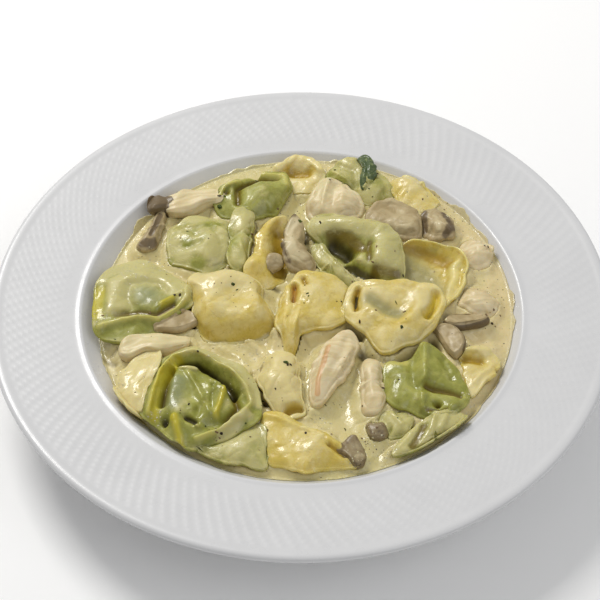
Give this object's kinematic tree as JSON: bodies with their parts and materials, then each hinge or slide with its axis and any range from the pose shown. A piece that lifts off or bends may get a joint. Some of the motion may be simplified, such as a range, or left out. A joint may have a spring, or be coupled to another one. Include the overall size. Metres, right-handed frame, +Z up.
{
  "type": "plate of tortellini",
  "caption": "Plated pasta meal: egg and spinach tortellini with chicken and mushroom pieces in cream sauce, on a wide-rimmed porcelain pasta plate with a raised dimpled rim.",
  "frame": {"origin": "The middle of the foot ring's underside, on the surface that the plate stands on.", "axes": "+Z is up along the plate's axis. +X is to the diner's right and +Y away from the diner."},
  "size_m": [0.26, 0.26, 0.0399],
  "materials": {
    "porcelain": "white glaze, glossy",
    "sauce": "wet cream sauce",
    "egg_dough": "boiled yellow pasta, wet",
    "spinach_dough": "boiled green pasta, wet",
    "chicken": "fried chicken, moist",
    "mushroom": "fried mushroom, moist"
  },
  "bodies": {
    "root": {"plate": "porcelain", "sauce": "sauce", "tortellino_egg_01": "egg_dough", "tortellino_egg_02": "egg_dough", "tortellino_egg_03": "egg_dough", "tortellino_egg_04": "egg_dough", "tortellino_egg_05": "egg_dough", "tortellino_egg_06": "egg_dough", "tortellino_egg_07": "egg_dough", "tortellino_egg_08": "egg_dough", "tortellino_egg_09": "egg_dough", "tortellino_egg_10": "egg_dough", "tortellino_egg_11": "egg_dough", "tortellino_spinach_01": "spinach_dough", "tortellino_spinach_02": "spinach_dough", "tortellino_spinach_03": "spinach_dough", "tortellino_spinach_04": "spinach_dough", "tortellino_spinach_05": "spinach_dough", "tortellino_spinach_06": "spinach_dough", "tortellino_spinach_07": "spinach_dough", "tortellino_spinach_08": "spinach_dough", "tortellino_spinach_09": "spinach_dough", "tortellino_spinach_10": "spinach_dough", "tortellino_spinach_11": "spinach_dough", "tortellino_spinach_12": "spinach_dough", "spinach_leaf": "spinach_dough", "chicken_01": "chicken", "chicken_02": "chicken", "chicken_03": "chicken", "chicken_04": "chicken", "chicken_05": "chicken", "chicken_06": "chicken", "chicken_07": "chicken", "mushroom_01": "mushroom", "mushroom_02": "mushroom", "mushroom_03": "mushroom", "mushroom_04": "mushroom", "mushroom_05": "mushroom", "mushroom_06": "mushroom", "mushroom_07": "mushroom", "mushroom_08": "mushroom", "mushroom_09": "mushroom", "mushroom_10": "mushroom", "mushroom_11": "mushroom"}
  },
  "joints": []
}
